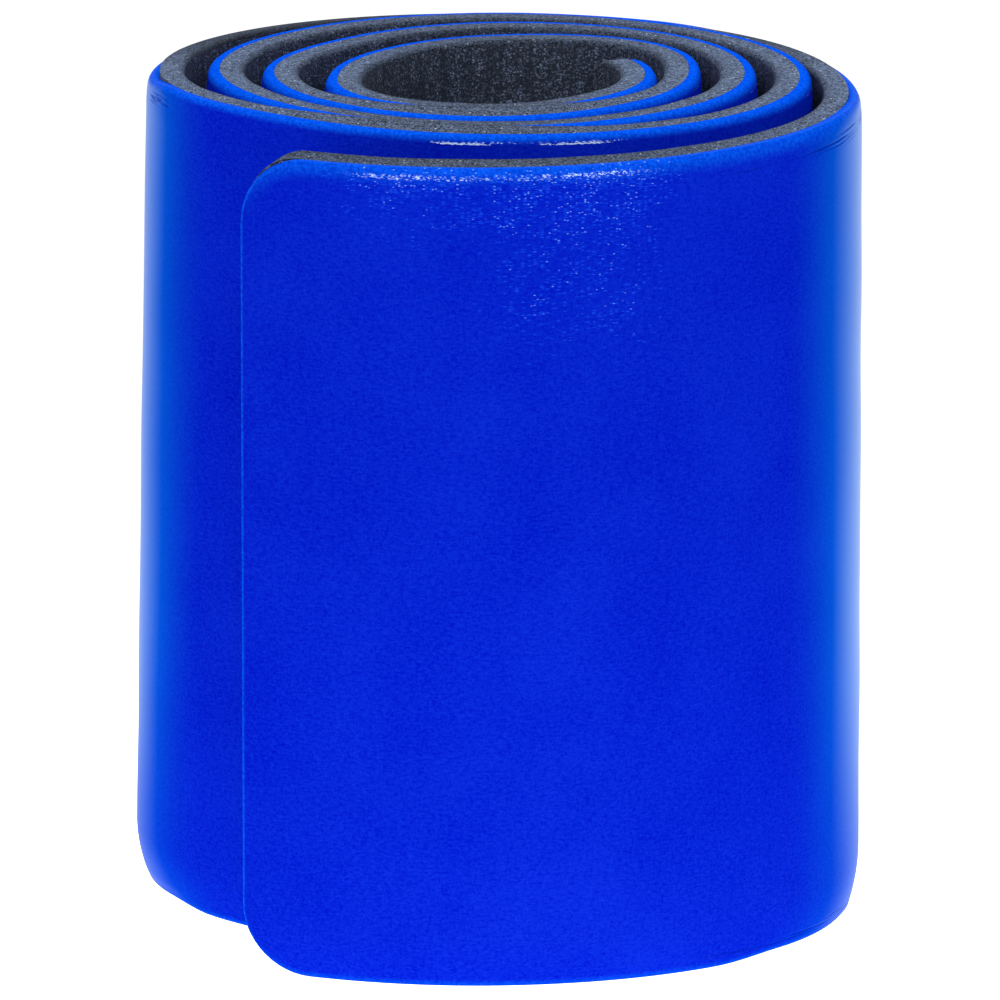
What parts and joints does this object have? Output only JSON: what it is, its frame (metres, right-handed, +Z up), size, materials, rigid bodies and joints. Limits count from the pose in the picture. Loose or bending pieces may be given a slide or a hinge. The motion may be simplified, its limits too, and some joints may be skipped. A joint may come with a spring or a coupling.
{
  "type": "aluminium foam splint",
  "caption": "Rolled-up padded splint strip standing on its long edge: a soft aluminium sheet between a thin blue foam and a thicker grey foam, with a free end that stands off the roll.",
  "frame": {"origin": "middle of the roll's footprint, on the surface that it stands on", "axes": "+Z up along the strip's width, +X to the right seen from the side of the free end, +Y away from the free end"},
  "size_m": [0.0936, 0.1044, 0.109],
  "materials": {
    "grey_foam": "fine closed-cell foam, dark skin with a paler speckled cut edge",
    "aluminium": "soft annealed sheet, satin",
    "blue_foam": "smooth closed-cell foam skin with a low satin sheen"
  },
  "bodies": {
    "root": {"grey_foam": "grey_foam", "aluminium_core": "aluminium", "blue_foam": "blue_foam"}
  },
  "joints": []
}
